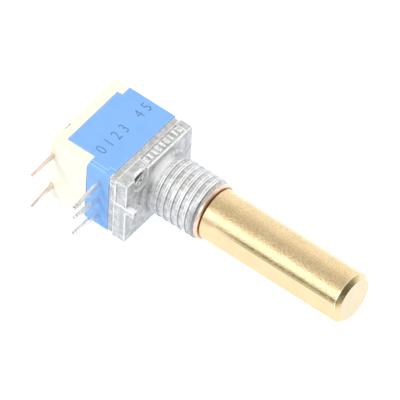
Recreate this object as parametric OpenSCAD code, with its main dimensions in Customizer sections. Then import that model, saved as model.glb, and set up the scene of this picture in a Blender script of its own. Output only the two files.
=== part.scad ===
// Rotary potentiometer with a rotary switch behind it, panel mounting.
// Millimetres. X runs out along the shaft, Z is up, the terminals point along -Y.
// The origin is where the shaft axis meets the front face of the mounting plate.

/* [Case] */
// Width of the case across the terminals
body_w = 11.4; // [11.2:0.1:12.4]
// Height of the case
body_h = 9; // [9:0.1:10]
// Distance of the shaft axis from the middle of the case, away from the terminals
axis_off = 0.8; // [0.7:0.05:0.9]
// Thickness of the cast mounting plate
plate_t = 2.35; // [2.3:0.05:2.8]
// Depth of the housing behind the plate at the terminal side
shoulder_depth = 3; // [3:0.05:3.2]
// Depth of the whole case behind the plate
case_depth = 8.15; // [7.5:0.05:9]
// Thickness of the case's rear wall, which holds the switch contacts
rear_wall = 1.45; // [1.3:0.05:1.6]

/* [Bushing] */
// Outside diameter of the bushing thread
bush_d = 7; // [6.8:0.05:8]
// Length of the bushing in front of the plate
bush_len = 6.7; // [5:0.1:10]

/* [Shaft] */
// Diameter of the shaft outside the bushing
shaft_d = 6; // [5.9:0.05:6.35]
// Reach of the shaft tip from the mounting face
shaft_reach = 26; // [18:0.5:40]
// Depth of the flat along the shaft
flat_depth = 0.4; // [0.3:0.05:1.5]
// Turning range of the shaft, in degrees, the switch included
turn_range = 300; // [270:5:300]

/* [Terminals] */
// Spacing of the three resistor terminals
pin_pitch = 2.5; // [2.4:0.05:2.54]
// Length of the resistor terminals outside the case
pin_len = 4.3; // [3:0.1:6]
// Spacing of the two switch terminals
switch_pitch = 5; // [4.8:0.05:5.08]
// Length of the switch terminals outside the case
switch_pin_len = 3.8; // [3:0.1:6]

/* [Hidden] */
$fn = 64;
// Case outline: left is the terminal side, right the far side
y_left = -(body_w / 2 + axis_off);
y_right = body_w / 2 - axis_off;
z_top = body_h / 2;
x_joint = -plate_t;
x_shoulder = x_joint - shoulder_depth;
x_back = x_joint - case_depth;
x_tongue = x_back + rear_wall;
x_right_step = x_tongue + 0.65;
y_tongue_left = y_left + 1.42;
y_tongue_right = y_right - 1.45;
edge_r = 0.6;
small_r = 0.25;
seam = 0.05;

// Running fits, shared by the shaft and what it turns in
run_fit = 0.03;
end_play = 0.03;
drive_fit = 0.01;
contact_gap = 0.03;

// Shaft steps
journal_r = 2.3;
groove_r = 1.7;
tail_r = 1.5;
tail_flat = 1.1;
washer_t = 0.4;
x_washer = bush_len + 0.02;
x_front_shoulder = x_washer + washer_t + end_play;
tip_chamfer = 0.5;
cutter_r = 6;
x_flat = x_front_shoulder + 0.4 + sqrt(2 * cutter_r * flat_depth);
x_cavity = -0.7;
thrust_t = 0.3;
x_clip = x_cavity - 0.02 - thrust_t - 0.06;
clip_t = 0.3;
clip_r = 3;
cavity_r = clip_r + 0.55;

// Resistor: a board against the plate with the tracks on its rear face
board_t = 1.2;
x_board = x_joint - board_t;
track_t = 0.05;
term_t = 0.3;
pin_width = 0.8;
chamber_wall = 0.4;
chamber_r = min(z_top, y_right) - chamber_wall;
carbon_r = chamber_r * [0.72, 0.865];
collector_r = chamber_r * [0.55, 0.67];
board_hole_r = chamber_r * 0.512;
hub_r = board_hole_r - 0.1;
wiper_angle = 150;
x_rotor = x_board - 0.8;
rotor_t = 0.95;
rotor_r = chamber_r - 0.4;
stop_r = rotor_r + 0.05;
lug_r = chamber_r - 0.12;
lug_width = 24;
stop_gap = 1;
stop_width = 360 - turn_range - lug_width - 2 * stop_gap;
stop_angle = wiper_angle + lug_width / 2 + stop_gap + stop_width / 2;
x_floor = x_rotor - rotor_t - 0.1;
floor_t = 0.65;

// Rivets that hold the plate, the housing and the switch housing together
rivet_r = 0.45;
rivet_y = y_right - 1.05;
rivet_z = z_top - 1.2;
rivet_at = [[-rivet_y, rivet_z], [rivet_y, -rivet_z]];
rivet_pocket_r = 1.2;
rivet_pocket = 0.55;
rivet_head_r = 1;
rivet_head_t = 0.3;
rear_pocket = [0.35, 0.75];

// Switch: a driver on the shaft tail carries a bridge over two fixed contacts
switch_chamber_r = 0.756 * chamber_r;
switch_depth = x_floor - floor_t - x_tongue;
driver_r = 0.888 * switch_chamber_r;
x_driver = x_floor - floor_t - 0.08;
driver_t = 0.57 * switch_depth;
x_tail_end = x_driver - driver_t + 0.1;
detent_floor = switch_chamber_r + 0.45;
leaf_half = driver_r - 0.35;
x_contact = x_tongue - seam;
contact_t = 0.2;
common_r = switch_chamber_r * [0.306, 0.5];
switched_r = switch_chamber_r * [0.613, 0.839];
on_angle = 28;
x_switch_term = x_back + 0.65;

// A profile of [radius, x] points turned about the shaft axis
module turned(profile) {
    rotate([0, 90, 0]) rotate_extrude() polygon(profile);
}

// A round bar along X
module rod(x0, x1, r, at = [0, 0]) {
    translate([x0, at[0], at[1]]) rotate([0, 90, 0]) cylinder(r = r, h = x1 - x0);
}

// A flat shape in the YZ plane made thick from x0 to x1
module along_x(x0, x1) {
    translate([x0, 0, 0]) rotate([90, 0, 90]) linear_extrude(x1 - x0) children();
}

// A flat shape in the XY plane made as high as the case
module full_height() {
    translate([0, 0, -z_top]) linear_extrude(body_h) children();
}

// An [x, z] outline cut right across the case
module across(outline) {
    translate([0, y_right + 1, 0]) rotate([90, 0, 0]) linear_extrude(body_w + 2) polygon(outline);
}

// A box from one corner to the opposite one
module box(a, b) {
    translate(a) cube(b - a);
}

// The case's section, with its own corner radius on each side
module case_section(inset, r_left, r_right) {
    z1 = z_top - inset;
    y0 = y_left + inset;
    y1 = y_right - inset;
    translate([y0 + r_left, -z1]) square([y1 - y0 - r_left - r_right, 2 * z1]);
    translate([y0, r_left - z1]) square([r_left + 0.01, 2 * (z1 - r_left)]);
    translate([y1 - r_right - 0.01, r_right - z1]) square([r_right + 0.01, 2 * (z1 - r_right)]);
    for (side = [-1, 1]) {
        translate([y0 + r_left, side * (z1 - r_left)]) circle(r_left);
        translate([y1 - r_right, side * (z1 - r_right)]) circle(r_right);
    }
}

// A flat ring from angle a0 to a1, counted from +Y towards +Z
module arc_band(r, a0, a1) {
    far = 2 * r[1];
    steps = ceil((a1 - a0) / 30);
    intersection() {
        difference() {
            circle(r[1]);
            circle(r[0]);
        }
        polygon([[0, 0], for (i = [0:steps]) let (a = a0 + (a1 - a0) * i / steps) far * [cos(a), sin(a)]]);
    }
}

// The two flats on the shaft's tail, and the matching holes
module tail_section(fit = 0) {
    intersection() {
        circle(tail_r + fit);
        square([2 * (tail_flat + fit), 4 * tail_r], center = true);
    }
}

// Zinc die casting: mounting plate and threaded bushing in one
module bushing_plate() color("silver") {
    skirt = 0.75;
    panel = [1.4, 6.2, 0.12];
    panel_y = y_right - 1 - panel[1];
    union() {
        difference() {
            union() {
                along_x(skirt - plate_t, 0) case_section(0, small_r, small_r);
                along_x(-plate_t, skirt - plate_t) case_section(0.15, small_r, small_r);
                bushing_barrel();
                corner_post();
            }
            rod(-plate_t - 1, bush_len + 1, journal_r + run_fit);
            rod(-plate_t - 1, x_cavity, cavity_r);
            for (at = rivet_at) {
                rod(-plate_t - 1, 1, rivet_r, at);
                rod(-rivet_pocket, 1, rivet_pocket_r, at);
            }
            // The rim above the rivet pocket is lower than the rest of the edge
            box([-0.25, rivet_at[0][0] - 1.15, z_top - 0.5], [1, rivet_at[0][0] + 1.1, z_top + 1]);
            // Ejector pin mark
            rod(-0.2, 1, 0.5, [-rivet_y, 0]);
            box([-0.15 - panel[0], panel_y, z_top - panel[2]], [-0.15, panel_y + panel[1], z_top + 1]);
        }
        panel_bars(panel_y, panel);
        locating_lug();
    }
}

// Barrel of the bushing, with a smooth fillet at its root and a chamfer at its mouth
module bushing_barrel() {
    r = bush_d / 2;
    fillet = 0.45;
    lead = 0.3;
    turned([[0, -0.5], [r + fillet, -0.5],
        for (i = [0:4]) let (a = 90 * i / 4) [r + fillet * (1 - sin(a)), fillet * (1 - cos(a))],
        [r, bush_len - lead], [r - lead, bush_len], [0, bush_len]]);
}

// Cast post at the upper corner of the joint, staked over the housing
module corner_post() {
    rod(-plate_t, 1.1 - plate_t, 0.6, [y_left + 0.5, z_top - 0.62]);
}

// A row of plain raised bars in the sunk panel on the plate's upper edge
module panel_bars(y0, panel) {
    widths = [0.35, 0.22, 0.22, 0.35, 0.22, 0.35, 0.22, 0.22, 0.35];
    step = panel[1] / len(widths);
    for (i = [0:len(widths) - 1]) {
        y = y0 + step * (i + 0.5);
        box([0.15 - panel[0], y - widths[i] / 2, z_top - panel[2] - 0.05], [-0.45, y + widths[i] / 2, z_top]);
    }
}

// Lug that enters a hole in the panel and stops the case from turning
module locating_lug() {
    box([-0.3, y_left, 0.35], [0.9, y_left + 0.7, 1.05]);
}

// Copper-coloured washer between the bushing's mouth and the shaft's shoulder
module mouth_washer() color("peru") {
    r = bush_d / 2 - 0.2;
    turned([[journal_r + 0.05, x_washer], [r, x_washer], [r, x_washer + washer_t - 0.12],
        [r - 0.12, x_washer + washer_t], [journal_r + 0.05, x_washer + washer_t]]);
}

// Steel washer in the plate's rear cavity
module thrust_washer() color("gainsboro") {
    difference() {
        rod(x_cavity - 0.02 - thrust_t, x_cavity - 0.02, cavity_r - 0.25);
        rod(x_cavity - 1, x_cavity + 1, journal_r + 0.05);
    }
}

// Rivet through the whole case, its head staked with a cross
module case_rivet(at, rear) color("lightgray") {
    x_head = -rivet_pocket + rivet_head_t;
    x_tail = x_back + rear;
    difference() {
        union() {
            rod(x_tail, x_head - 0.1, rivet_r, at);
            translate([-rivet_pocket, at[0], at[1]]) rotate([0, 90, 0])
                cylinder(r1 = rivet_head_r, r2 = rivet_head_r - 0.15, h = rivet_head_t);
            rod(x_tail - 0.2, x_tail, rivet_head_r - 0.2, at);
        }
        for (turn = [45, 135]) translate([x_head, at[0], at[1]]) rotate([turn, 0, 0])
            cube([0.24, 1.3, 0.26], center = true);
    }
}

module rivet_upper() {
    case_rivet(rivet_at[0], rear_pocket[0]);
}

module rivet_lower() {
    case_rivet(rivet_at[1], rear_pocket[1]);
}

// Outline of the resistor board: a disc with a neck that carries the terminals
module board_outline(grow = 0) {
    neck_z = pin_pitch + 0.95;
    circle(chamber_r - 0.15 + grow);
    translate([y_left + 0.75 - grow, -neck_z - grow]) square([-y_left - 2.2, 2 * (neck_z + grow)]);
}

// Rivet holes in the board and the terminals lie on this line
eyelet_y = y_left + 1.5;
eyelet_r = 0.3;
eyelet_ring_r = 0.65;
lead_y = eyelet_y + eyelet_ring_r + 0.1;

// Phenolic board, held between the plate and the housing
module element_board() color("saddlebrown") {
    along_x(x_board, x_joint) difference() {
        board_outline();
        circle(board_hole_r);
        for (i = [-1:1]) translate([eyelet_y, i * pin_pitch]) circle(eyelet_r);
        for (at = rivet_at) translate(at) circle(rivet_r + 0.1);
    }
}

// Printed resistance track, open towards the terminals
module carbon_track() color("dimgray") {
    along_x(x_board - track_t, x_board) {
        arc_band(carbon_r, -160, 160);
        // Legs from the track's ends out to the terminals
        for (side = [-1, 1]) {
            translate([lead_y, side * (pin_pitch - 0.55) - 0.3]) square([-0.62 * chamber_r - lead_y, 0.6]);
        }
    }
}

// Silvered ring under the wiper's inner finger, with its lead to the middle terminal
module collector_track() color("gainsboro") {
    along_x(x_board - track_t, x_board) {
        arc_band(collector_r, -180, 180);
        translate([lead_y, -0.25]) square([-collector_r[0] - 0.15 - lead_y, 0.5]);
    }
}

// Flat leg of a terminal: level inside the case wall, then bent up and tapered to its tip
module terminal_leg(z, inner, len, width, tip, straight, bend) {
    level = [[-straight * len, width / 2], [-len, tip / 2], [-len, -tip / 2], [-straight * len, -width / 2]];
    bent = [for (p = level)
        [p[0] * cos(bend) + p[1] * sin(bend), p[1] * cos(bend) - p[0] * sin(bend)]];
    translate([y_left, z]) polygon([[inner, -width / 2], [inner, width / 2], [0, width / 2],
        each bent, [0, -width / 2]]);
}

// One resistor terminal: eyelet on the board, leg through the case wall, tapered pin
module pin_terminal(z, bend) color("gainsboro") {
    along_x(x_board - term_t, x_board) difference() {
        union() {
            translate([eyelet_y, z]) circle(eyelet_ring_r);
            terminal_leg(z, eyelet_y - y_left - 0.4, pin_len, pin_width, 0.28, 0.4, bend);
        }
        translate([eyelet_y, z]) circle(eyelet_r);
    }
}

module terminal_1() {
    pin_terminal(pin_pitch, -3);
}

module terminal_2() {
    pin_terminal(0, 9);
}

module terminal_3() {
    pin_terminal(-pin_pitch, 8);
}

// Three tubular rivets that clamp the terminals to the board
module terminal_eyelets() color("lightgray") {
    for (i = [-1:1]) {
        at = [eyelet_y, i * pin_pitch];
        rod(x_board - term_t, x_joint - 0.02, eyelet_r, at);
        rod(x_board - term_t - 0.15, x_board - term_t, 0.5, at);
    }
}

// Plan of the housing, seen from above
module housing_plan() {
    r = edge_r;
    polygon([[x_joint, y_left], [x_shoulder + r, y_left],
        for (i = [1:4]) let (a = 90 * i / 4) [x_shoulder + r * (1 - sin(a)), y_left + r * (1 - cos(a))],
        [x_shoulder, y_tongue_left], [x_tongue, y_tongue_left], [x_tongue, y_tongue_right],
        [x_right_step, y_tongue_right], [x_right_step, y_right], [x_joint, y_right]]);
}

// Moulded housing: holds the board and the rotor in front, the switch driver behind
module housing() color("cornflowerblue") {
    difference() {
        intersection() {
            along_x(x_tongue, x_joint) case_section(0, edge_r, small_r);
            full_height() housing_plan();
        }
        // Recess for the board, and the rotor's chamber with its stop left standing
        along_x(x_board - 0.02, x_joint + 1) board_outline(0.05);
        difference() {
            rod(x_floor, x_joint, chamber_r);
            along_x(x_floor - 1, x_rotor + 0.3) arc_band([stop_r, chamber_r + 1],
                stop_angle - stop_width / 2, stop_angle + stop_width / 2);
        }
        // Room behind the board for the eyelets and the terminals
        box([x_board - term_t - 0.35, eyelet_y - 0.75, -pin_pitch - 0.75],
            [x_board, -lug_r + 0.5, pin_pitch + 0.75]);
        for (i = [-1:1]) {
            box([x_board - term_t, y_left - 1, i * pin_pitch - pin_width / 2],
                [x_board, eyelet_y, i * pin_pitch + pin_width / 2]);
        }
        rod(x_tongue - 1, x_floor + 1, tail_r + 0.25);
        rod(x_tongue - 1, x_floor - floor_t, switch_chamber_r);
        for (at = rivet_at) rod(x_tongue - 1, x_joint + 1, rivet_r, at);
        // Shallow relief at the corner beside the plate
        box([x_joint - 0.7, y_left - 1, z_top - 0.12], [x_joint + 1, y_left + 1.05, z_top + 1]);
        detent_seat();
    }
}

// Slot in the housing wall that holds the detent spring's ends
module detent_seat() {
    seat = leaf_half + 0.2;
    box([x_tongue - 1, -seat, -detent_floor], [x_driver - 0.35, seat, -driver_r + 0.9]);
}

// Plan of the switch housing, which wraps the back of the housing
module switch_housing_plan() {
    r = 0.3;
    polygon([[x_shoulder - seam, y_left], [x_back + r, y_left], [x_back, y_left + r],
        [x_back, y_right - r], [x_back + r, y_right], [x_right_step - seam, y_right],
        [x_right_step - seam, y_tongue_right + seam], [x_tongue - seam, y_tongue_right + seam],
        [x_tongue - seam, y_tongue_left - seam], [x_shoulder - seam, y_tongue_left - seam]]);
}

// Cream moulding that closes the case and carries the switch contacts
module switch_housing() color("cornsilk") {
    difference() {
        intersection() {
            along_x(x_back, x_shoulder) case_section(0, edge_r, small_r);
            full_height() switch_housing_plan();
        }
        // Lower rear edge is cut back
        across([[x_back - 1, -3], [x_back, -3], [x_back + 0.62, -z_top], [x_back + 0.62, -z_top - 1],
            [x_back - 1, -z_top - 1]]);
        switch_contact_live();
        switch_contact_common();
        for (i = [0, 1]) {
            rod(x_back - 1, x_back + rear_pocket[i], rivet_head_r, rivet_at[i]);
            rod(x_back - 1, x_shoulder + 1, rivet_r, rivet_at[i]);
        }
        // Shallow sunk slots round the two switch terminals
        for (side = [-1, 1]) {
            z = side * switch_pitch / 2;
            box([x_switch_term - 0.28, y_left - 1, z - 0.5], [x_switch_term + 0.28, y_left + 0.12, z + 0.6]);
        }
        // Gate mark on the upper rear edge
        box([x_back + 0.25, y_left + 2.4, z_top - 0.15], [x_back + 0.45, y_left + 3.3, z_top + 1]);
    }
}

// Fixed switch contact: tapered pin, strip inside the wall, and a wiping face on the chamber side
module switch_contact(z, pad_r, a0, a1, length, bend) {
    width = 0.6;
    x0 = x_switch_term - term_t / 2;
    pad_z = sign(z) * (pad_r[0] + pad_r[1]) / 2;
    // The strip passes inside the case rivets, and steps over to the pin where it must
    strip_z = sign(z) * min(abs(z), rivet_z - rivet_r - 0.35);
    step_z = [min(z, strip_z) - width / 2, max(z, strip_z) + width / 2];
    link_z = [min(strip_z, pad_z) - 0.2, max(strip_z, pad_z) + 0.2];
    union() {
        along_x(x0, x0 + term_t) {
            terminal_leg(z, 0.9, length, width, 0.2, 0.12, bend);
            translate([y_left + 0.3, step_z[0]]) square([0.6, step_z[1] - step_z[0]]);
            translate([y_left + 0.8, strip_z - width / 2]) square([-y_left - 0.8, width]);
            // Up or down to the wiping face
            translate([-0.6, link_z[0]]) square([0.6, link_z[1] - link_z[0]]);
        }
        box([x0, -0.6, pad_z - 0.2], [x_contact, 0, pad_z + 0.2]);
        along_x(x_contact - contact_t, x_contact) arc_band(pad_r, a0, a1);
    }
}

// Joins the circuit once the shaft has turned off its stop
module switch_contact_live() color("sandybrown") {
    switch_contact(switch_pitch / 2, switched_r, -158, wiper_angle - on_angle, switch_pin_len, 1);
}

// Always touches the bridge; its pin is trimmed a little shorter and leans down
module switch_contact_common() color("sandybrown") {
    switch_contact(-switch_pitch / 2, common_r, -180, 180, 0.94 * switch_pin_len, -6);
}

// Leaf that snaps into the driver's notch at the off position
module detent_spring() color("silver") {
    t = 0.15;
    x0 = x_tongue + 0.15;
    x1 = x_driver - 0.5;
    z0 = -detent_floor;
    z1 = -driver_r - 0.05;
    along_x(x0, x1) {
        polygon([[-leaf_half, z0], [-0.5, z0], [0, z1 - t], [0.5, z0], [leaf_half, z0],
            [leaf_half, z0 + t], [0.62, z0 + t], [0.12, z1], [-0.12, z1], [-0.62, z0 + t],
            [-leaf_half, z0 + t]]);
    }
}

// Turned brass shaft: flatted end, journal, clip groove and driving tail
module shaft() color("goldenrod") {
    r = shaft_d / 2;
    lip = 0.15;
    difference() {
        union() {
            turned([[0, x_clip - clip_t], [groove_r, x_clip - clip_t], [groove_r, x_clip],
                [journal_r, x_clip], [journal_r, x_front_shoulder], [r - lip, x_front_shoulder],
                [r, x_front_shoulder + lip], [r, shaft_reach - tip_chamfer],
                [r - tip_chamfer, shaft_reach], [0, shaft_reach]]);
            rod(x_clip - clip_t - 0.5, x_clip - clip_t, 2);
            along_x(x_tail_end, x_clip - clip_t - 0.4) tail_section();
        }
        // The flat, the milling cutter's run-out at its inner end, and the bevel at its tip
        box([x_flat, -r - 1, -r - 1], [shaft_reach + 1, flat_depth - r, r + 1]);
        translate([x_flat, flat_depth - r - cutter_r, -r - 1]) cylinder(r = cutter_r, h = 2 * r + 2);
        translate([shaft_reach - tip_chamfer, flat_depth - r, -r - 1]) rotate([0, 0, 45])
            translate([-1, -2, 0]) cube([4, 2, 2 * r + 2]);
    }
}

// Open steel ring sprung into the shaft's groove
module retaining_clip() color("gainsboro") {
    along_x(x_clip - clip_t + 0.02, x_clip - 0.02) difference() {
        circle(clip_r);
        circle(groove_r);
        translate([0, -groove_r * 0.85]) square([4, 2 * groove_r * 0.85]);
    }
}

// Moulded rotor that carries the wiper round the tracks, with the stop lug on its rim
module wiper_rotor() color("dimgray") {
    difference() {
        union() {
            rod(x_rotor - rotor_t, x_rotor, rotor_r);
            rod(x_rotor, x_board - 0.15, hub_r);
            along_x(x_rotor - rotor_t, x_rotor)
                    arc_band([tail_r + 1, lug_r], wiper_angle - lug_width / 2, wiper_angle + lug_width / 2);
        }
        along_x(x_rotor - rotor_t - 1, x_board) tail_section(drive_fit);
    }
}

// Sprung finger from a plate at x_root, its tip on a circle of radius r at the given angle
module finger(angle, r, width, x_root, x_tip, lean) {
    t = 0.12 * sign(x_tip - x_root);
    rotate([angle, 0, 0]) translate([0, r + width / 2, 0]) rotate([90, 0, 0]) linear_extrude(width)
        polygon([[x_root - t, -lean - 0.3], [x_root, -lean - 0.3], [x_root, -lean],
            [x_tip - t / 2, 0], [x_tip, 0.1], [x_tip, 0.3], [x_tip - t, 0.3],
            [x_tip - 1.4 * t, 0.05], [x_root - t, -lean + 0.05]]);
}

// Bronze wiper: a plate on the rotor's face with a sprung finger for each track
module wiper_spring() color("darkgoldenrod") {
    x_plate = x_rotor + 0.15;
    along_x(x_rotor, x_plate)
        arc_band([hub_r + 0.02, rotor_r - 0.05], wiper_angle - 80, wiper_angle + 80);
    for (r = [collector_r, carbon_r])
        finger(wiper_angle, (r[0] + r[1]) / 2, 0.4, x_plate, x_board - track_t - contact_gap, 1.1);
}

// Driver on the end of the shaft's tail, with the off-position notch in its rim
module switch_driver() color("whitesmoke") {
    difference() {
        rod(x_driver - driver_t, x_driver, driver_r);
        along_x(x_driver - driver_t - 1, x_driver + 1) tail_section(drive_fit);
        rotate([-90, 0, 0]) translate([x_driver - driver_t - 1, driver_r, 0]) rotate([45, 0, 0])
            translate([0, -0.35, -0.35]) cube([driver_t + 2, 0.7, 0.7]);
    }
}

// Bronze bridge behind the driver, with a sprung finger for each fixed contact
module switch_bridge() color("darkgoldenrod") {
    x_front = x_driver - driver_t;
    x_plate = x_front - 0.15;
    along_x(x_plate, x_front)
        arc_band([tail_r + 0.12, driver_r - 0.15], wiper_angle - 65, wiper_angle + 70);
    for (r = [common_r, switched_r])
        finger(wiper_angle, (r[0] + r[1]) / 2, 0.36, x_plate, x_contact + contact_gap, 1.1);
}

bushing_plate();
mouth_washer();
thrust_washer();
rivet_upper();
rivet_lower();
element_board();
carbon_track();
collector_track();
terminal_1();
terminal_2();
terminal_3();
terminal_eyelets();
housing();
switch_housing();
switch_contact_live();
switch_contact_common();
detent_spring();
shaft();
retaining_clip();
wiper_rotor();
wiper_spring();
switch_driver();
switch_bridge();
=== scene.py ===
import math

import bmesh
import bpy
from mathutils import Matrix, Vector


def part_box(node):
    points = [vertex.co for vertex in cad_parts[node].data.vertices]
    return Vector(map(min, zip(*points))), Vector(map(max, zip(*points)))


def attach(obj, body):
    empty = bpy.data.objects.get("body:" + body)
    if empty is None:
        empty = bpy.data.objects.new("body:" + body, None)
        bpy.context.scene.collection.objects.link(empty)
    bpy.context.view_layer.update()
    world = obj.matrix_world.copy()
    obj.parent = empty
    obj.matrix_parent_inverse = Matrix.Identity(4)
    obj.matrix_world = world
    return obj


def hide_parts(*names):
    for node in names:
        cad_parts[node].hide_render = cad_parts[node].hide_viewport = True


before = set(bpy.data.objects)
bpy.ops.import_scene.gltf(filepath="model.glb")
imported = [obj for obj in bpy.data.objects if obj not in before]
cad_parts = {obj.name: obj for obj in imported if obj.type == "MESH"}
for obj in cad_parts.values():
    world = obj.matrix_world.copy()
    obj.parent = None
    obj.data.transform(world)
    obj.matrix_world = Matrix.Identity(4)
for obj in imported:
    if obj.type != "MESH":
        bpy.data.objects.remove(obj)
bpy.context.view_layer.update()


# Camera: a long lens looks down on the upper, front and terminal sides, so that
# parallel edges stay parallel, and the shaft runs to the lower right.
MM = 0.001
VIEW_RIGHT = Vector((0.7835, 0.6206, 0.0317)).normalized()
VIEW_UP = Vector((-0.4932, 0.5900, 0.6393)).normalized()
VIEW_BACK = VIEW_RIGHT.cross(VIEW_UP).normalized()
PICTURE_PIXELS = 400
PIXELS_PER_MM = 9.38
ORIGIN_PIXEL = (162.81, 179.9)
AWAY = 0.3


def new_object(name, data):
    """An object that is linked into the scene."""
    thing = bpy.data.objects.new(name, data)
    bpy.context.scene.collection.objects.link(thing)
    return thing


lens = bpy.data.cameras.new("camera")
lens.type = "ORTHO"
lens.ortho_scale = PICTURE_PIXELS / PIXELS_PER_MM * MM
lens.clip_start = 0.01
lens.clip_end = 3
camera = new_object("camera", lens)
bpy.context.scene.camera = camera
across, down = (PICTURE_PIXELS / 2 - pixel for pixel in ORIGIN_PIXEL)
centre = (VIEW_RIGHT * across - VIEW_UP * down) / PIXELS_PER_MM * MM
turn = Matrix((VIEW_RIGHT, VIEW_BACK.cross(VIEW_RIGHT), VIEW_BACK)).transposed()
camera.matrix_world = Matrix.Translation(centre + VIEW_BACK * AWAY) @ turn.to_4x4()


# Table and light: a white table in a light tent with bright walls, a dimmer roof and a
# dark open end before the shaft. A strip lamp draws the shaft's long highlight, a small
# one beside it casts the pins' soft shadows, and one on the roof fills the top.
TABLE_GAP = 0.02
# Degrees round the shaft from the far horizon, over the top, to the near one, each with
# the wall's brightness in warm and in cool light
TENT_WALLS = ((0, 1.18, 1.32), (30, 1.16, 1.25), (46, 1.09, 1.12), (60, 0.97, 0.95),
              (80, 0.70, 0.70), (104, 0.80, 0.80), (122, 0.85, 0.85), (140, 0.9, 0.9),
              (158, 0.55, 0.52), (180, 0.42, 0.36))
TENT_POWER = 2.0
OPEN_END_POWER = 0.45


def new_material(name):
    """A material with its node tree and its shader."""
    material = bpy.data.materials.new(name)
    material.use_nodes = True
    return material, material.node_tree, material.node_tree.nodes["Principled BSDF"]


def add_node(tree, kind, **settings):
    """A shader node, its sockets and options set by name."""
    node = tree.nodes.new(kind)
    for key, value in settings.items():
        if key in node.inputs:
            node.inputs[key].default_value = value
        else:
            setattr(node, key, value)
    return node


def combine(tree, first, second, operation):
    """Two values worked into one."""
    node = add_node(tree, "ShaderNodeMath", operation=operation)
    tree.links.new(first, node.inputs[0])
    tree.links.new(second, node.inputs[1])
    return node.outputs[0]


def spread(tree, value, low, high, to_low=0.0, to_high=1.0):
    """The value with its range low to high stretched over to_low to to_high."""
    fit = add_node(tree, "ShaderNodeMapRange")
    for key, number in (("From Min", low), ("From Max", high), ("To Min", to_low), ("To Max", to_high)):
        fit.inputs[key].default_value = number
    tree.links.new(value, fit.inputs["Value"])
    return fit.outputs["Result"]


case_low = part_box("housing")[0]
bpy.ops.mesh.primitive_plane_add(size=2, location=(0.1, 0, case_low[2] - TABLE_GAP * MM))
table = bpy.context.object
table.name = "table"
paper, tree, shader = new_material("white_paper")
shader.inputs["Base Color"].default_value = (0.42, 0.43, 0.45, 1)
shader.inputs["Roughness"].default_value = 0.8
shader.inputs["Emission Color"].default_value = (0.88, 0.93, 1, 1)
shader.inputs["Emission Strength"].default_value = 0.88
table.data.materials.append(paper)

tent = bpy.data.worlds.new("light_tent")
bpy.context.scene.world = tent
tent.use_nodes = True
tree = tent.node_tree
direction = add_node(tree, "ShaderNodeTexCoord")
way = add_node(tree, "ShaderNodeSeparateXYZ")
tree.links.new(direction.outputs["Generated"], way.inputs[0])
around = combine(tree, way.outputs["Z"], way.outputs["Y"], "ARCTAN2")
walls = add_node(tree, "ShaderNodeValToRGB")
stops = walls.color_ramp.elements
while len(stops) < len(TENT_WALLS):
    stops.new(0.5)
for stop, (angle, warm, cool) in zip(stops, TENT_WALLS):
    stop.position = angle / 180
    stop.color = (warm / TENT_POWER, (warm + cool) / 2 / TENT_POWER, cool / TENT_POWER, 1)
tree.links.new(spread(tree, around, 0, math.pi), walls.inputs["Fac"])
brightness = spread(tree, way.outputs["X"], 0.68, 0.82, TENT_POWER, OPEN_END_POWER)
brightness.node.interpolation_type = "SMOOTHSTEP"
sky = tree.nodes["Background"]
tree.links.new(brightness, sky.inputs["Strength"])
tree.links.new(walls.outputs["Color"], sky.inputs["Color"])


def aim_lamp(name, way, length, width, energy):
    """A flat lamp that faces the part, its long side as near to the shaft's direction as it can be."""
    data = bpy.data.lights.new(name, "AREA")
    data.shape = "RECTANGLE"
    data.size = length
    data.size_y = width
    data.energy = energy
    way = Vector(way).normalized()
    side = (Vector((1, 0, 0)) - way * way.x).normalized()
    turn = Matrix((side, way.cross(side), way)).transposed()
    lamp = new_object(name, data)
    lamp.matrix_world = Matrix.Translation(way * AWAY) @ turn.to_4x4()
    return lamp


strip_lamp = aim_lamp("strip_lamp", (-0.38, -0.745, 0.553), 0.30, 0.135, 0.24)
strip_lamp.visible_diffuse = False
strip_lamp.data.color = (0.80, 0.90, 1)
aim_lamp("shadow_lamp", (-0.42, -0.60, 0.68), 0.10, 0.10, 0.38).visible_glossy = False
aim_lamp("roof_lamp", (0.05, 0, 1), 0.25, 0.25, 0.145).visible_glossy = False

bpy.context.scene.view_settings.view_transform = "Standard"
bpy.context.scene.view_settings.look = "None"


# Plate and bushing: one zinc die casting, a thick square plate with a barrel for the
# shaft. It is left as cast, so its skin is grainy and its edges are soft. Its edges are
# lightened partly as rubbed wear and partly with a painted highlight, its hollows carry
# painted shade, its rivet pocket carries painted light and shade, and the lug's top
# carries painted light. Two rivets hold the case against it.
LEFT_Y = -6.5
TOP_Z = 4.5
BACK_X = -2.35
LUG_TOP = 1.05
LUG_REACH = 1.1
BARREL_CORE_R = 3.15
EJECTOR_Y = -3.85
EJECTOR_R = 0.7
EJECTOR_DEPTH = 0.07
RIVET_AT = (-0.3, -3.85, 3.3)
# Painted shade in the upper rivet's pocket lies towards this side
SHADED_SIDE = (0, -0.42, 0.91)
POCKET_R = 1.3
WARM_GREY = (1.015, 1.0, 0.975)
WHITE = (1, 1, 1)
# Near black, for painted shade
SHADE_BLACK = (0.06, 0.06, 0.06)
# Where the left face steps back: x from and to, how far in, and from what height up
LEFT_STEPS = ((BACK_X - 0.1, BACK_X + 0.75, 0.15, 2.5), (BACK_X + 0.7, BACK_X + 1.2, 0, 2.5),
              (-1.35, 1, 0.1, LUG_TOP))


def mm_space(tree):
    """Position on the object in millimetres."""
    place = add_node(tree, "ShaderNodeTexCoord")
    scale = add_node(tree, "ShaderNodeVectorMath", operation="SCALE", Scale=1000)
    tree.links.new(place.outputs["Object"], scale.inputs[0])
    return scale.outputs[0]


def mm_axes(tree):
    """The same position as X, Y and Z."""
    axes = add_node(tree, "ShaderNodeSeparateXYZ")
    tree.links.new(mm_space(tree), axes.inputs[0])
    return axes.outputs


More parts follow.
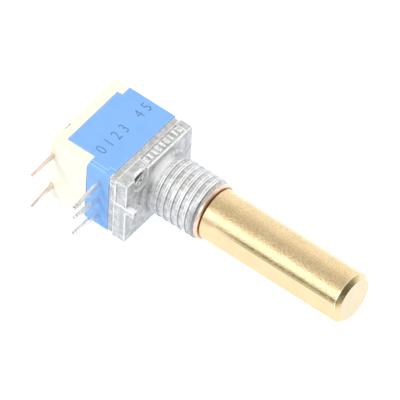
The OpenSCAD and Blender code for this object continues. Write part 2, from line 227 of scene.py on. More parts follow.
def on_vector(tree, operation, vector, by=None):
    """A vector worked on by another, or its length."""
    node = add_node(tree, "ShaderNodeVectorMath", operation=operation)
    if by:
        node.inputs[1].default_value = by
    tree.links.new(vector, node.inputs[0])
    return node.outputs["Value" if operation in ("LENGTH", "DOT_PRODUCT") else "Vector"]


def noise_on(tree, space, **settings):
    """Noise of about 0.5 that runs through the piece."""
    noise = add_node(tree, "ShaderNodeTexNoise", **settings)
    tree.links.new(space, noise.inputs["Vector"])
    return noise.outputs["Fac"]


def all_of(tree, mask, *others):
    """1 where every mask is 1."""
    for other in others:
        mask = combine(tree, mask, other, "MULTIPLY")
    return mask


def strip(tree, value, low, high, soft=0.04):
    """1 between low and high, 0 outside them, with soft ends."""
    return all_of(tree, spread(tree, value, low - soft, low), spread(tree, value, high + soft, high))


def new_group(name, inputs, outputs):
    """An empty node group with inputs, given as name and value, and outputs."""
    group = bpy.data.node_groups.new(name, "ShaderNodeTree")
    for label, value in inputs:
        socket = group.interface.new_socket(label, in_out="INPUT", socket_type="NodeSocketFloat")
        socket.default_value = value
    for label in outputs:
        group.interface.new_socket(label, in_out="OUTPUT", socket_type="NodeSocketFloat")
    return group, group.nodes.new("NodeGroupInput").outputs, group.nodes.new("NodeGroupOutput").inputs


def place_group(tree, group, **values):
    """The group placed in a material with its own values."""
    node = tree.nodes.new("ShaderNodeGroup")
    node.node_tree = group
    for key, value in values.items():
        node.inputs[key.replace("_", " ")].default_value = value
    return node.outputs


# Grain: a fine height and slow patches, both about 0.5
grain_group, given, result = new_group("grain", (("Fine scale", 9.0), ("Patch scale", 0.9)),
                                       ("Height", "Patches"))
space = mm_space(grain_group)
for label, output, detail in (("Fine scale", "Height", 4.0), ("Patch scale", "Patches", 3.0)):
    noise = noise_on(grain_group, space, Detail=detail, Roughness=0.6)
    grain_group.links.new(given[label], noise.node.inputs["Scale"])
    grain_group.links.new(noise, result[output])

# Edges and hollows: a mask on outer edges, broken up by a noise, that the materials lighten
# with a painted highlight, on the metals also as rubbed wear, and a mask in the corners
# that they darken with painted shade. Both reaches are in millimetres
edge_group, given, result = new_group("edges_and_hollows", (("Edge reach", 0.15), ("Hollow reach", 0.5)),
                                      ("Edges", "Hollows"))
broken = noise_on(edge_group, mm_space(edge_group), Scale=2.5, Detail=3)
for label, output, inside, uneven in (("Edge reach", "Edges", True, 0.6),
                                      ("Hollow reach", "Hollows", False, 0.2)):
    reach = add_node(edge_group, "ShaderNodeMath", operation="MULTIPLY")
    reach.inputs[1].default_value = MM
    near = add_node(edge_group, "ShaderNodeAmbientOcclusion", inside=inside, samples=8, only_local=inside)
    edge_group.links.new(given[label], reach.inputs[0])
    edge_group.links.new(reach.outputs[0], near.inputs["Distance"])
    covered = spread(edge_group, near.outputs["AO"], 0.97, 0.64)
    broken_up = spread(edge_group, broken, 0.3, 0.6, 1 - uneven, 1)
    edge_group.links.new(all_of(edge_group, covered, broken_up), result[output])

# Pocket shade: painted shade on the side of the upper rivet's pocket that its rim shades,
# with the distances from the pocket's middle and from the rivet's axis in millimetres
pocket_group, given, result = new_group("pocket_shade", (("Dirt from", 0.4), ("Dirt to", 0.6), ("Strength", 0.9)),
                                        ("Dirt", "From middle", "From axis"))
way = on_vector(pocket_group, "SUBTRACT", mm_space(pocket_group), RIVET_AT)
shade_side_mask = spread(pocket_group, on_vector(pocket_group, "DOT_PRODUCT", way, SHADED_SIDE), 0, 1)
for label, socket in (("Dirt from", "From Min"), ("Dirt to", "From Max"), ("Strength", "To Max")):
    pocket_group.links.new(given[label], shade_side_mask.node.inputs[socket])
flat_way = on_vector(pocket_group, "MULTIPLY", way, (0, 1, 1))
pocket_group.links.new(shade_side_mask, result["Dirt"])
pocket_group.links.new(on_vector(pocket_group, "LENGTH", way), result["From middle"])
pocket_group.links.new(on_vector(pocket_group, "LENGTH", flat_way), result["From axis"])


def between(tree, factor, low, high):
    """A colour that runs from low to high as the factor goes from 0 to 1."""
    mix = add_node(tree, "ShaderNodeMix", data_type="RGBA")
    mix.inputs[6].default_value = (*low, 1)
    mix.inputs[7].default_value = (*high, 1)
    tree.links.new(factor, mix.inputs[0])
    return mix.outputs[2]


def lay_over(tree, under, colour, mask, strength=1.0):
    """The colour laid over what is under it where the mask is 1, at the strength given."""
    mix = add_node(tree, "ShaderNodeMix", data_type="RGBA")
    mix.inputs[7].default_value = (*colour, 1)
    if strength < 1:
        mask = spread(tree, mask, 0, 1, 0, strength)
    tree.links.new(mask, mix.inputs[0])
    tree.links.new(under, mix.inputs[6])
    return mix.outputs[2]


def bump(tree, shader, height, depth_mm):
    """Fine relief in the skin, as deep as given."""
    relief = add_node(tree, "ShaderNodeBump", Distance=depth_mm * MM, Strength=1.0)
    tree.links.new(height, relief.inputs["Height"])
    tree.links.new(relief.outputs["Normal"], shader.inputs["Normal"])
    return relief


def zinc_skin(name, low, high, edge_reach, specks, patch_scale):
    """Bare zinc between two greys, with dark specks, painted shade in its hollows, and edges lightened partly as
    wear and partly with a painted highlight.
    """
    material, tree, shader = new_material(name)
    grain = place_group(tree, grain_group, Fine_scale=6.0, Patch_scale=patch_scale)
    wear_and_painted_light = place_group(tree, edge_group, Edge_reach=edge_reach, Hollow_reach=0.6)
    greys = [[shade * part for part in WARM_GREY] for shade in (low, high)]
    skin = between(tree, spread(tree, grain["Patches"], 0.36, 0.62), *greys)
    skin = lay_over(tree, skin, (0.30, 0.305, 0.31), spread(tree, grain["Height"], 0.38, 0.50, specks, 0))
    # Painted shade in the hollows
    skin = lay_over(tree, skin, (0.22, 0.225, 0.23), wear_and_painted_light["Hollows"], 0.12)
    # Edges lightened partly as rubbed wear and partly as a painted highlight, and made less metallic below so that
    # their white shows
    skin = lay_over(tree, skin, WHITE, wear_and_painted_light["Edges"])
    tree.links.new(skin, shader.inputs["Base Color"])
    tree.links.new(spread(tree, wear_and_painted_light["Edges"], 0, 1, 0.75, 0.2), shader.inputs["Metallic"])
    tree.links.new(spread(tree, grain["Patches"], 0.3, 0.7, 0.50, 0.36), shader.inputs["Roughness"])
    bump(tree, shader, grain["Height"], 0.045)
    return material


def skin_so_far(material):
    """A material's node tree and shader, and what feeds its colour so far."""
    shader = material.node_tree.nodes["Principled BSDF"]
    return material.node_tree, shader, shader.inputs["Base Color"].links[0].from_socket


def copy_of(node, name):
    """A copy of a part from the frame, for a form that goes further."""
    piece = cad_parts[node].copy()
    piece.data = piece.data.copy()
    piece.name = name
    bpy.context.scene.collection.objects.link(piece)
    return piece


def dress(piece, material, soft_mm=0.0):
    """Gives a piece its material and breaks its sharp edges, as moulding, casting or tumbling does."""
    piece.data.materials.clear()
    piece.data.materials.append(material)
    for face in piece.data.polygons:
        face.use_smooth = True
    if not soft_mm:
        return
    flat = piece.modifiers.new("join_flats", "DECIMATE")
    flat.decimate_type = "DISSOLVE"
    flat.angle_limit = math.radians(1)
    flat.delimit = {"SHARP"}
    edge = piece.modifiers.new("soft_edges", "BEVEL")
    edge.width = soft_mm * MM
    edge.segments = 2
    edge.limit_method = "ANGLE"
    edge.angle_limit = math.radians(30)
    edge.harden_normals = False
    smooth = piece.modifiers.new("even_normals", "WEIGHTED_NORMAL")
    smooth.keep_sharp = False


def as_tool(form):
    """A form as the object that cuts a casting or is added to it."""
    mesh = bpy.data.meshes.new("tool")
    form.to_mesh(mesh)
    form.free()
    return new_object("tool", mesh)


def block(low, high):
    """A block between two corners."""
    form = bmesh.new()
    bmesh.ops.create_cube(form, size=1)
    for vertex in form.verts:
        vertex.co = Vector([(l + h) / 2 + c * (h - l) for l, h, c in zip(low, high, vertex.co)]) * MM
    return as_tool(form)


def boss(at, radius, height):
    """A round boss that stands on the left face, a little tapered."""
    form = bmesh.new()
    bmesh.ops.create_cone(form, cap_ends=True, segments=32, radius1=radius, radius2=radius - 0.1, depth=height)
    bmesh.ops.rotate(form, verts=form.verts, matrix=Matrix.Rotation(math.radians(90), 3, "X"))
    for vertex in form.verts:
        vertex.co = (vertex.co + Vector(at)) * MM
    return as_tool(form)


def shape_with(piece, tool, operation):
    """Cuts or adds the tool's form, and takes the tool away again."""
    change = piece.modifiers.new("shape", "BOOLEAN")
    change.operation = operation
    change.object = tool
    change.solver = "EXACT"
    seen = piece.evaluated_get(bpy.context.evaluated_depsgraph_get())
    shaped = bpy.data.meshes.new_from_object(seen)
    piece.modifiers.clear()
    piece.data = shaped
    bpy.data.objects.remove(tool)


# The barrel is drawn in to make room for the thread, the ejector mark is shallower, and
# the lug reaches a little further
plate = copy_of("bushing_plate", "zinc_plate")
form = bmesh.new()
form.from_mesh(plate.data)
bmesh.ops.remove_doubles(form, verts=form.verts, dist=1e-7)
for vertex in form.verts:
    x, y, z = vertex.co / MM
    radius = math.hypot(y, z)
    if x > 0.05 and 3.05 < radius < 4.0:
        vertex.co = Vector((x, y * BARREL_CORE_R / radius, z * BARREL_CORE_R / radius)) * MM
    elif -0.3 < x < -0.1 and math.hypot(y - EJECTOR_Y, z) < EJECTOR_R:
        vertex.co.x = -EJECTOR_DEPTH * MM
    elif x > 0.8 and y < LEFT_Y + 0.8:
        vertex.co.x = LUG_REACH * MM
form.to_mesh(plate.data)
form.free()
# The left face steps back above the lug, and a small boss stands on the rear skirt
for x_from, x_to, inward, z_from in LEFT_STEPS:
    shape_with(plate, block((x_from, LEFT_Y - 1, z_from), (x_to, LEFT_Y + inward, TOP_Z + 1)), "DIFFERENCE")
shape_with(plate, boss((BACK_X + 0.52, LEFT_Y + 0.12, TOP_Z - 0.55), 0.52, 0.3), "UNION")

# Painted light in the rivet's pocket: painted bright, with painted shade on the side its rim shades
cast_skin = zinc_skin("cast_zinc", 0.50, 0.71, 0.19, 0.45, 1.4)
tree, shader, skin = skin_so_far(cast_skin)
at = mm_axes(tree)
pocket = place_group(tree, pocket_group, Dirt_from=0.35, Dirt_to=0.75, Strength=0.95)
in_pocket = all_of(tree, spread(tree, pocket["From middle"], POCKET_R + 0.04, POCKET_R - 0.04),
                   spread(tree, at["Z"], TOP_Z - 0.03, TOP_Z - 0.08))
skin = lay_over(tree, skin, WHITE, in_pocket, 0.8)
skin = lay_over(tree, skin, SHADE_BLACK, all_of(tree, in_pocket, pocket["Dirt"]))
# The lug's top is painted bright, as painted light from above
on_lug = all_of(tree, strip(tree, at["Z"], LUG_TOP - 0.02, LUG_TOP + 0.02, 0.06),
                spread(tree, at["Y"], LEFT_Y + 0.7, LEFT_Y + 0.6, 0, 0.9))
skin = lay_over(tree, skin, WHITE, on_lug)
tree.links.new(skin, shader.inputs["Base Color"])
# Pocket and lug are made less metallic, so that their painted light shows white
dull = spread(tree, combine(tree, in_pocket, on_lug, "ADD"), 0, 1, 1, 0.1)
tree.links.new(all_of(tree, dull, shader.inputs["Metallic"].links[0].from_socket), shader.inputs["Metallic"])
dress(plate, cast_skin, 0.08)
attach(plate, "case")
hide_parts("bushing_plate")


# Bushing thread: an M7 thread on the casting's barrel for the panel nut, cut after
# casting and slightly blunt. A painted highlight lies on its crests' edges and the upper
# side of its root, and painted shade lies in front of the crests, at both ends and on the mouth.
BUSH_R = 3.5
MOUTH_X = 6.7
ROOT_FILLET = 0.45
MOUTH_CHAMFER = 0.3
THREAD_FROM = 1.0
THREAD_TO = 6.65
PITCH = 0.96
THREAD_DEPTH = 0.12
CREST_X = 1.4
CREST_TURN = math.radians(124)
ROWS = 220
COLUMNS = 160
# The mouth's flat face and its inner edge
MOUTH_RADII = (2.95, 2.34)


def rise(value, start, end):
    """0 before the start, 1 past the end, and a straight slope from one to the other."""
    return min(max((value - start) / (end - start), 0), 1)


def off_crest(x, angle):
    """Distance from the middle of the thread's nearest crest, in turns."""
    turns = (x - CREST_X) / PITCH - angle / (2 * math.pi)
    return abs((turns + 0.5) % 1 - 0.5)


def thread_height(x, angle):
    """Height of the thread above its root, from 0 to 1. It runs out to 1 at both ends."""
    wave = rise(off_crest(x, angle), 0.30, 0.19)
    fade = rise(x, THREAD_FROM, THREAD_FROM + 0.45) * rise(x, THREAD_TO, THREAD_TO - 0.15)
    return 1 - fade * (1 - wave * wave * (3 - 2 * wave))


def barrel_radius(x):
    """Outer radius without the thread: a fillet at the root, a chamfer at the mouth."""
    if x < ROOT_FILLET:
        rest = 1 - max(x, 0) / ROOT_FILLET
        return BUSH_R + ROOT_FILLET * (1 - math.sqrt(max(0, 1 - rest * rest)))
    return BUSH_R - max(0, x - (MOUTH_X - MOUTH_CHAMFER))


def ring_point(form, x, radius, column):
    """A new point of the thread's form, in one of its columns round the barrel."""
    angle = 2 * math.pi * column / COLUMNS
    return form.verts.new((x * MM, radius * math.cos(angle) * MM, radius * math.sin(angle) * MM))


def crest_highlight(x, angle, turned):
    """How much painted highlight lies on the crests' edges and the upper side of the root."""
    lower = rise(angle, 1.9, 2.6)
    upper = rise(angle, 1.0, 1.6) * rise(angle, 2.6, 2.2)
    on_edge = rise(abs(off_crest(x, turned) - 0.15), 0.085, 0.035)
    on_lit_side = max(0.2, rise(angle, 0.9, 1.3)) * max(0.35, rise(angle, 3.0, 2.5))
    edge = on_edge * on_lit_side if THREAD_FROM + 0.2 < x < THREAD_TO - 0.1 - 0.6 * lower else 0
    root = min(1, 1.4 * rise(abs(x - 0.45), 0.75, 0))
    return max(edge, upper * root)


def flank_shade(x, angle, turned):
    """How much painted shade lies in front of a crest, at both ends of the thread and on the mouth."""
    lower = rise(angle, 1.9, 2.6)
    slope = thread_height(x - 0.10, turned) - thread_height(x + 0.08, turned)
    front = slope * 1.2 * (1 - thread_height(x, turned))
    ends = 0.6 * lower if x > MOUTH_X - 0.8 or x < 0.7 else 0
    mouth = 0.25 if x > MOUTH_X - 0.3 else 0
    return min(1, max(0, front * (0.4 + 0.8 * lower) + ends + mouth))


mesh = bpy.data.meshes.new("thread")
form = bmesh.new()
crest_mark = form.verts.layers.float.new("crest")
flank_mark = form.verts.layers.float.new("flank")
rings = []
for row in range(ROWS + 1):
    x = -0.05 + (MOUTH_X + 0.05) * row / ROWS
    ring = []
    for column in range(COLUMNS):
        angle = 2 * math.pi * column / COLUMNS
        turned = angle - CREST_TURN
        radius = barrel_radius(x) - THREAD_DEPTH * (1 - thread_height(x, turned))
        vertex = ring_point(form, x, radius, column)
        vertex[crest_mark] = crest_highlight(x, angle, turned)
        vertex[flank_mark] = flank_shade(x, angle, turned)
        ring.append(vertex)
    rings.append(ring)
for radius in MOUTH_RADII:
    rings.append([ring_point(form, MOUTH_X, radius, column) for column in range(COLUMNS)])
for first, second in zip(rings, rings[1:]):
    for column in range(COLUMNS):
        after = (column + 1) % COLUMNS
        form.faces.new((first[column], first[after], second[after], second[column]))
bmesh.ops.recalc_face_normals(form, faces=form.faces)
form.to_mesh(mesh)
form.free()
thread = new_object("bushing_thread", mesh)

cut_skin = zinc_skin("cut_zinc", 0.52, 0.80, 0.07, 0.35, 2.2)
tree, shader, skin = skin_so_far(cut_skin)
# Painted highlight on the crests' edges, made less metallic there, and painted shade on the flanks
for mark, colour, strength in (("crest", WHITE, 0.9), ("flank", (0.25, 0.25, 0.26), 0.75)):
    stored = add_node(tree, "ShaderNodeAttribute", attribute_name=mark).outputs["Fac"]
    skin = lay_over(tree, skin, colour, spread(tree, stored, 0.1, 1, 0, strength))
    if mark == "crest":
        tree.links.new(spread(tree, stored, 0, 1, 0.75, 0.15), shader.inputs["Metallic"])
tree.links.new(skin, shader.inputs["Base Color"])
dress(thread, cut_skin)
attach(thread, "case")


# Mouth ring: a thin washer of copper alloy at the bushing's mouth, stamped from strip,
# that the shaft's shoulder runs on. Its inner edge is darkened with painted shade.
ring_copper, tree, shader = new_material("copper_ring")
grain = place_group(tree, grain_group, Fine_scale=12.0, Patch_scale=1.6)
tint = between(tree, spread(tree, grain["Patches"], 0.35, 0.65), (0.82, 0.57, 0.42), (0.94, 0.74, 0.60))
from_axis = on_vector(tree, "LENGTH", on_vector(tree, "MULTIPLY", mm_space(tree), (0, 1, 1)))
# Painted shade on the inner edge, next to the shaft
tint = lay_over(tree, tint, (0.55, 0.29, 0.17), spread(tree, from_axis, 3.16, 3.08, 0, 0.8))
tree.links.new(tint, shader.inputs["Base Color"])
shader.inputs["Metallic"].default_value = 1
tree.links.new(spread(tree, grain["Height"], 0.3, 0.7, 0.28, 0.42), shader.inputs["Roughness"])
bump(tree, shader, grain["Height"], 0.006)
dress(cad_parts["mouth_washer"], ring_copper, 0.03)


# Case rivets: two rivets of plated steel that run through the whole case and hold it
# against the plate. Each head is staked with a cross in its pocket. Painted shade darkens
# the cross, the head's outer ring and one side of the pocket, and a painted highlight
# lightens the head's edges.
steel, tree, shader = new_material("plated_steel")
grain = place_group(tree, grain_group, Fine_scale=10.0, Patch_scale=2.0)
wear_and_painted_light = place_group(tree, edge_group, Edge_reach=0.08, Hollow_reach=0.15)
pocket = place_group(tree, pocket_group, Dirt_from=0.42, Dirt_to=0.55, Strength=0.9)
tint = between(tree, spread(tree, grain["Patches"], 0.35, 0.65), (0.90, 0.90, 0.89), (1.0, 1.0, 0.99))
# Painted shade in the cross and other hollows, and a painted highlight on the edges
tint = lay_over(tree, tint, SHADE_BLACK, wear_and_painted_light["Hollows"], 0.75)
tint = lay_over(tree, tint, WHITE, wear_and_painted_light["Edges"])
# Painted shade on the head's outer ring and on the shaded side of its pocket
tint = lay_over(tree, tint, (0.20, 0.20, 0.20), spread(tree, pocket["From axis"], 0.68, 0.78, 0, 0.55))
tint = lay_over(tree, tint, (0.05, 0.05, 0.05), pocket["Dirt"])
tree.links.new(tint, shader.inputs["Base Color"])
shader.inputs["Metallic"].default_value = 0.3
tree.links.new(spread(tree, grain["Patches"], 0.3, 0.7, 0.26, 0.42), shader.inputs["Roughness"])
bump(tree, shader, grain["Height"], 0.012)
for name in ("rivet_upper", "rivet_lower"):
    dress(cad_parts[name], steel, 0.04)


# Housing: a blue injection moulding of glass-filled plastic that holds the resistor
# board and the rotor, and that the plate closes at the front. Its skin is semi-matt, and
# fine lines of painted highlight follow its upper corner.
SEAM_X = -5.35
CORNER_R = 0.6
CORNER_KEPT = 0.15
SUNK_IN_SOLID = 0.12
SUNK_DEPTH = 0.03
SUNK_FRONT_X = -3.06
CLOSE = 0.005
# From and to along X, then along Y
HIGHLIGHT_LINES = ((-5.3, -3.1, -5.72, -5.67), (-5.3, -3.1, -6.15, -6.10),
                 (-3.15, -3.10, -5.70, -5.20), (-3.15, -2.3, -5.23, -5.18))


def moulded(name, colour, pale, deep, rough=0.42, relief=0.012, scale=14.0):
    """A plastic with slow patches and deeper grain, painted shade in its hollows and a painted highlight on its
    edges.
    """
    material, tree, shader = new_material(name)
    grain = place_group(tree, grain_group, Fine_scale=scale, Patch_scale=0.6)
    wear_and_painted_light = place_group(tree, edge_group, Edge_reach=0.12, Hollow_reach=0.35)
    low = [part * 0.95 for part in colour]
    body = between(tree, spread(tree, grain["Patches"], 0.35, 0.65), low, colour)
    body = lay_over(tree, body, deep, spread(tree, grain["Height"], 0.30, 0.42, 0.25, 0))
    # Painted shade in the hollows and a painted highlight on the edges
    body = lay_over(tree, body, deep, wear_and_painted_light["Hollows"], 0.15)
    body = lay_over(tree, body, pale, wear_and_painted_light["Edges"], 0.7)
    tree.links.new(body, shader.inputs["Base Color"])
    tree.links.new(spread(tree, grain["Patches"], 0.3, 0.7, rough - 0.05, rough + 0.08), shader.inputs["Roughness"])
    bump(tree, shader, grain["Height"], relief)
    return material


# Its rear corner is sharper where the cream wall meets it, and the relief beside the
# plate is only a shade deep
blue_case = copy_of("housing", "blue_case")
for vertex in blue_case.data.vertices:
    x, y, z = vertex.co / MM
    if SEAM_X - 0.002 < x < SEAM_X + CORNER_R + CLOSE and y < LEFT_Y + CORNER_R + 0.01:
        vertex.co.x = (SEAM_X + (x - SEAM_X) * CORNER_KEPT) * MM
    if abs(z - TOP_Z + SUNK_IN_SOLID) < CLOSE and x > SUNK_FRONT_X:
        vertex.co.z = (TOP_Z - SUNK_DEPTH) * MM
blue = moulded("blue_moulding", (0.205, 0.43, 0.845), (0.42, 0.66, 0.96), (0.10, 0.27, 0.60))
tree, shader, skin = skin_so_far(blue)
at = mm_axes(tree)
upper = spread(tree, at["Z"], TOP_Z - 0.35, TOP_Z - 0.25)
# Painted highlight lines along the upper corner's rounding
for x_from, x_to, y_from, y_to in HIGHLIGHT_LINES:
    line = all_of(tree, strip(tree, at["X"], x_from, x_to), strip(tree, at["Y"], y_from, y_to), upper)
    skin = lay_over(tree, skin, (0.50, 0.74, 1.0), line, 0.55)
tree.links.new(skin, shader.inputs["Base Color"])
dress(blue_case, blue, 0.035)
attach(blue_case, "case")
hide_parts("housing")


# Printed digits: a row of plain digits on the housing's upper face, stamped in thin grey
# ink, one cell apart. They read along +Y, their tops towards the back of the case.
DIGITS = "0123 45"
FIRST_DIGIT = (-5.35, -3.94)
DIGIT_CELL = 1.29
DIGIT_HEIGHT = 1.35
SIZE_FOR_HEIGHT = 1.42
DIGIT_WIDTH = 0.82
THINNED = -0.022
INK_DEPTH = 0.004
ink, tree, shader = new_material("grey_ink")
grain = place_group(tree, grain_group, Fine_scale=6.0, Patch_scale=3.0)
tint = between(tree, spread(tree, grain["Height"], 0.4, 0.6), (0.06, 0.13, 0.21), (0.11, 0.22, 0.35))
tree.links.new(tint, shader.inputs["Base Color"])
tree.links.new(spread(tree, grain["Patches"], 0.3, 0.7, 0.45, 0.65), shader.inputs["Roughness"])
for cell, digit in enumerate(DIGITS):
    if digit == " ":
        continue
    text = bpy.data.curves.new("digit", "FONT")
    text.body = digit
    text.size = DIGIT_HEIGHT * SIZE_FOR_HEIGHT * MM
    text.align_x = "CENTER"
    text.align_y = "CENTER"
    text.offset = THINNED * MM
    text.extrude = INK_DEPTH * MM
    text.materials.append(ink)
    printed = new_object("digit_%d" % cell, text)
    middle = Vector((FIRST_DIGIT[0], FIRST_DIGIT[1] + DIGIT_CELL * cell, TOP_Z)) * MM
    printed.matrix_world = (Matrix.Translation(middle) @ Matrix.Rotation(math.radians(90), 4, "Z")
                            @ Matrix.Diagonal((DIGIT_WIDTH, 1, 1, 1)))
    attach(printed, "case")


# Switch housing: a cream moulding, snapped over the back of the blue one, that holds the
# switch's contacts. It is drawn up tight, so the seam and the slots round its two pins
# are hardly open, and its rear corner is tinted pale brown near the top and the bottom.
WALL_X = -5.40
CLOSED_WALL_X = -5.36
SLOT_IN_SOLID = 0.12
SLOT_DEPTH = 0.04
BROWN_PATCH_X = (-10.1, -9.75)
BROWN_PATCH_HEIGHTS = ((3.35, 3.9), (-4.3, -3.75))
cream_case = copy_of("switch_housing", "cream_case")
for vertex in cream_case.data.vertices:
    x, y, z = vertex.co / MM
    if abs(x - WALL_X) < 0.01:
        vertex.co.x = CLOSED_WALL_X * MM
    if abs(y - LEFT_Y - SLOT_IN_SOLID) < CLOSE:
        vertex.co.y = (LEFT_Y + SLOT_DEPTH) * MM
cream = moulded("cream_moulding", (0.865, 0.83, 0.70), (0.93, 0.90, 0.81), (0.72, 0.66, 0.50), rough=0.38,
                relief=0.008, scale=9.0)
tree, shader, skin = skin_so_far(cream)
at = mm_axes(tree)
# Pale brown patches at the rear corner, near the top and the bottom
for z_from, z_to in BROWN_PATCH_HEIGHTS:
    brown_patch = all_of(tree, strip(tree, at["X"], *BROWN_PATCH_X, 0.3), strip(tree, at["Z"], z_from, z_to, 0.3))
    skin = lay_over(tree, skin, (0.80, 0.68, 0.44), brown_patch, 0.45)
tree.links.new(skin, shader.inputs["Base Color"])
dress(cream_case, cream, 0.03)
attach(cream_case, "case")
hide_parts("switch_housing")


# Resistor terminals: three flat pins, stamped from tinned strip, sheared to a taper at
# their ends and held on the board by eyelets. The shears leave hatch marks on the tips.
shear_group, given, result = new_group("shear_marks", (("Strength", 0.5),), ("Marks",))
hatch = add_node(shear_group, "ShaderNodeTexWave", bands_direction="Y", Scale=0.75, Distortion=3.0,
                 Detail=2.0, **{"Detail Scale": 2.5})
shear_group.links.new(mm_space(shear_group), hatch.inputs["Vector"])
on_tip = spread(shear_group, mm_axes(shear_group)["Y"], -9.6, -10.2)
cut = spread(shear_group, hatch.outputs["Fac"], 0.45, 0.7)
shear_group.links.new(all_of(shear_group, on_tip, cut, given["Strength"]), result["Marks"])


def pin_metal(name, colour, dark, marked=0.0):
    """A bright strip metal, patchy between two tints, with marked tips, and edges lightened partly as wear and
    partly with a painted highlight.
    """
    material, tree, shader = new_material(name)
    grain = place_group(tree, grain_group, Fine_scale=8.0, Patch_scale=2.2)
    wear_and_painted_light = place_group(tree, edge_group, Edge_reach=0.06, Hollow_reach=0.3)
    shears = place_group(tree, shear_group, Strength=marked)
    tint = between(tree, spread(tree, grain["Patches"], 0.38, 0.62), dark, colour)
    tint = lay_over(tree, tint, [part * 0.25 for part in dark], shears["Marks"])
    # Edges lightened partly as wear and partly with a painted highlight
    tint = lay_over(tree, tint, (0.97, 0.96, 0.95), wear_and_painted_light["Edges"], 0.5)
    tree.links.new(tint, shader.inputs["Base Color"])
    shader.inputs["Metallic"].default_value = 0.9
    tree.links.new(spread(tree, grain["Height"], 0.3, 0.7, 0.26, 0.42), shader.inputs["Roughness"])
    bump(tree, shader, grain["Height"], 0.01)
    return material


tinned = pin_metal("tinned_strip", (0.97, 0.96, 0.94), (0.78, 0.77, 0.75), 0.5)
for name in ("terminal_1", "terminal_2", "terminal_3"):
    dress(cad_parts[name], tinned, 0.04)
dress(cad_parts["terminal_eyelets"], tinned)


# Switch terminals: two strips of copper alloy, set in the cream moulding's wall, that
# end in a pin outside and in a wiping face inside.
pin_copper = pin_metal("copper_strip", (0.94, 0.79, 0.69), (0.82, 0.64, 0.54), 0.35)
for name in ("switch_contact_live", "switch_contact_common"):
    dress(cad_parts[name], pin_copper, 0.04)


# Shaft: free-cutting brass, turned from bar, with a milled flat for the knob. Fine
# turning rings run round it, a painted dark reflection lies along the flat's upper edge,
# and the tip is chamfered.
TIP_X = 26
TIP_UPWARD = (0, -0.5, 0.87)
# Along X from and to, colour and strength: a painted highlight line, then a painted dark reflection
TIP_BANDS = ((25.38, 25.42, (1, 1, 0.9), 0.7), (25.48, 26.1, (0.36, 0.29, 0.10), 0.8))
brass, tree, shader = new_material("turned_brass")
space = mm_space(tree)
at = mm_axes(tree)
stretch = add_node(tree, "ShaderNodeMapping", Scale=(9.0, 0.8, 0.8))
tree.links.new(space, stretch.inputs["Vector"])
tool_rings = noise_on(tree, stretch.outputs[0], Scale=1.0, Detail=3.0)
grain = place_group(tree, grain_group, Fine_scale=5.4, Patch_scale=0.55)
wear_and_painted_light = place_group(tree, edge_group, Edge_reach=0.10, Hollow_reach=0.5)
tint = between(tree, spread(tree, grain["Patches"], 0.35, 0.65), (0.83, 0.62, 0.345), (0.885, 0.67, 0.39))
# A painted dark reflection lies along the flat's upper edge, in grains, more so towards the tip
flat_edge = all_of(tree, spread(tree, at["Z"], 1.04, 1.14), spread(tree, at["Z"], 1.92, 1.72),
                   spread(tree, at["Y"], -2.3, -2.5))
dark_reflection = all_of(tree, flat_edge, spread(tree, grain["Height"], 0.42, 0.54, 0.45, 1.0),
               spread(tree, at["X"], 9, 13, 0.1, 1.0))
tint = lay_over(tree, tint, (0.33, 0.27, 0.11), dark_reflection)
# Turning left a band of torn grains beside the flat, and small dull pits in the skin
torn = all_of(tree, spread(tree, at["Z"], 2.3, 2.6, 0, 0.35), spread(tree, grain["Height"], 0.52, 0.44))
tint = lay_over(tree, tint, (0.50, 0.38, 0.17), torn)
pits = noise_on(tree, space, Scale=5.0, Detail=1.0)
tint = lay_over(tree, tint, (0.50, 0.35, 0.17), spread(tree, pits, 0.74, 0.82, 0, 0.6))
# The chamfer's upper side gets a painted dark reflection, below a painted highlight line
upper_side = spread(tree, on_vector(tree, "DOT_PRODUCT", space, TIP_UPWARD), 1.5, 2.4)
for x_from, x_to, colour, strength in TIP_BANDS:
    tint = lay_over(tree, tint, colour, all_of(tree, strip(tree, at["X"], x_from, x_to, 0.05), upper_side), strength)
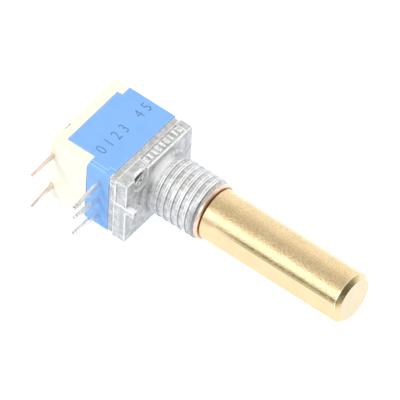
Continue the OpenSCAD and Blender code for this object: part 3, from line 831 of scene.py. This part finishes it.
# The sawn and faced end is paler and duller than the turned sides
end_face = spread(tree, at["X"], TIP_X - 0.05, TIP_X - 0.01)
end_tint = between(tree, spread(tree, grain["Height"], 0.35, 0.65), (0.80, 0.65, 0.43), (0.88, 0.73, 0.51))
faced = add_node(tree, "ShaderNodeMix", data_type="RGBA")
tree.links.new(end_face, faced.inputs[0])
tree.links.new(tint, faced.inputs[6])
tree.links.new(end_tint, faced.inputs[7])
# Edges lightened partly as wear and partly with a painted highlight
tint = lay_over(tree, faced.outputs[2], (0.98, 0.90, 0.72), wear_and_painted_light["Edges"], 0.4)
tree.links.new(tint, shader.inputs["Base Color"])
shader.inputs["Metallic"].default_value = 1
polish = combine(tree, spread(tree, tool_rings, 0.3, 0.7, 0.11, 0.18), spread(tree, end_face, 0, 1, 0, 0.2), "ADD")
tree.links.new(polish, shader.inputs["Roughness"])
relief = bump(tree, shader, combine(tree, grain["Height"], spread(tree, tool_rings, 0, 1, 0, 0.5), "ADD"), 0.05)
# The skin is smoothest on the side away from the flat
tree.links.new(spread(tree, at["Y"], 0.9, -0.5, 0.2, 1.0), relief.inputs["Strength"])
dress(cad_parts["shaft"], brass, 0.04)


# Inside the case: a phenolic board with its printed tracks, the moulded rotor and
# driver, sprung parts of bronze and steel, and the steel washer and clip that hold the
# shaft. They are sealed in, and finished as the real ones.
phenolic = moulded("phenolic_board", (0.30, 0.15, 0.07), (0.42, 0.25, 0.14), (0.16, 0.08, 0.04), rough=0.6)
carbon = moulded("printed_carbon", (0.02, 0.02, 0.022), (0.05, 0.05, 0.05), (0.01, 0.01, 0.01), rough=0.7,
                 relief=0.02)
dark = moulded("dark_moulding", (0.035, 0.035, 0.04), (0.10, 0.10, 0.10), (0.015, 0.015, 0.015), rough=0.45)
acetal = moulded("white_acetal", (0.82, 0.82, 0.79), (0.9, 0.9, 0.88), (0.6, 0.6, 0.57), rough=0.3)
silver = pin_metal("printed_silver", (0.82, 0.81, 0.76), (0.66, 0.65, 0.60))
bronze = pin_metal("spring_bronze", (0.80, 0.53, 0.27), (0.62, 0.38, 0.17))
for name, material in (("element_board", phenolic), ("carbon_track", carbon), ("wiper_rotor", dark),
                       ("switch_driver", acetal), ("collector_track", silver), ("wiper_spring", bronze),
                       ("switch_bridge", bronze), ("detent_spring", steel), ("thrust_washer", steel),
                       ("retaining_clip", steel)):
    dress(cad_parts[name], material)
